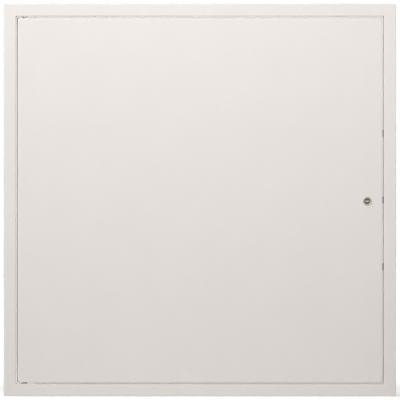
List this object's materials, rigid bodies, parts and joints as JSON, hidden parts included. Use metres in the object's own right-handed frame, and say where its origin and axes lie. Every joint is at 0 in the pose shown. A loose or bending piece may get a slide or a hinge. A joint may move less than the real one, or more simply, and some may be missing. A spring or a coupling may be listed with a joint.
{
  "type": "access panel",
  "caption": "Flush square metal access panel for a ceiling or wall opening: picture-flange frame, pivoted tray door, cam lock with key recess and sprung upper pivot bolt.",
  "frame": {"origin": "middle of the frame's opening, in the plane of the wall or ceiling surface that the flange's folded edge rests on", "axes": "+X from the hinge side to the lock side as seen from the front, +Y into the wall, +Z up in the picture; on a ceiling +Y points up"},
  "size_m": [0.64, 0.0516, 0.64],
  "materials": {
    "powder_coat": "satin powder coat",
    "galvanised_steel": "spangled zinc",
    "zinc_plate": "bright zinc plate",
    "nickel_plate": "dull nickel plate",
    "spring_steel": "oiled spring steel",
    "aluminium": "plain",
    "nylon": "natural",
    "rubber": "matte"
  },
  "bodies": {
    "frame": {"top_rail": "powder_coat", "bottom_rail": "powder_coat", "hinge_rail": "powder_coat", "lock_rail": "powder_coat", "top_stop": "powder_coat", "bottom_stop": "powder_coat", "lock_stop": "powder_coat", "cleat_top_hinge": "galvanised_steel", "cleat_top_lock": "galvanised_steel", "cleat_bottom_hinge": "galvanised_steel", "cleat_bottom_lock": "galvanised_steel", "cleat_rivets": "aluminium", "upper_bush": "nylon", "lower_bush": "nylon", "upper_buffer": "rubber", "middle_buffer": "rubber", "lower_buffer": "rubber", "top_buffer": "nylon"},
    "door": {"door_tray": "powder_coat", "hinge_stiffener": "galvanised_steel", "lock_stiffener": "galvanised_steel", "lock_doubler": "galvanised_steel", "upper_pivot_bracket": "galvanised_steel", "lower_pivot_bracket": "galvanised_steel", "lower_pivot_pin": "zinc_plate", "bolt_spring": "spring_steel", "lock_body": "nickel_plate", "lock_washer": "zinc_plate", "lock_nut": "zinc_plate"},
    "pivot_bolt": {"spring_bolt": "zinc_plate", "bolt_clip": "spring_steel"},
    "latch": {"lock_plug": "nickel_plate", "lock_cam": "zinc_plate", "cam_washer": "zinc_plate", "cam_screw": "zinc_plate"}
  },
  "joints": [
    {"name": "door_swing", "type": "hinge", "parent": "frame", "child": "door", "pos_m": [-0.2853, 0.005, 0], "axis": [0, 0, -1], "range_deg": [0, 110]},
    {"name": "bolt_slide", "type": "slide", "parent": "door", "child": "pivot_bolt", "axis": [0, 0, -1], "range_m": [0, 0.0106], "stiffness_N_per_m": 500, "springref_m": -0.012, "deforming": ["bolt_spring"]},
    {"name": "latch_turn", "type": "hinge", "parent": "door", "child": "latch", "pos_m": [0.2731, 0, -0.002], "axis": [0, -1, 0], "range_deg": [0, 90]}
  ]
}
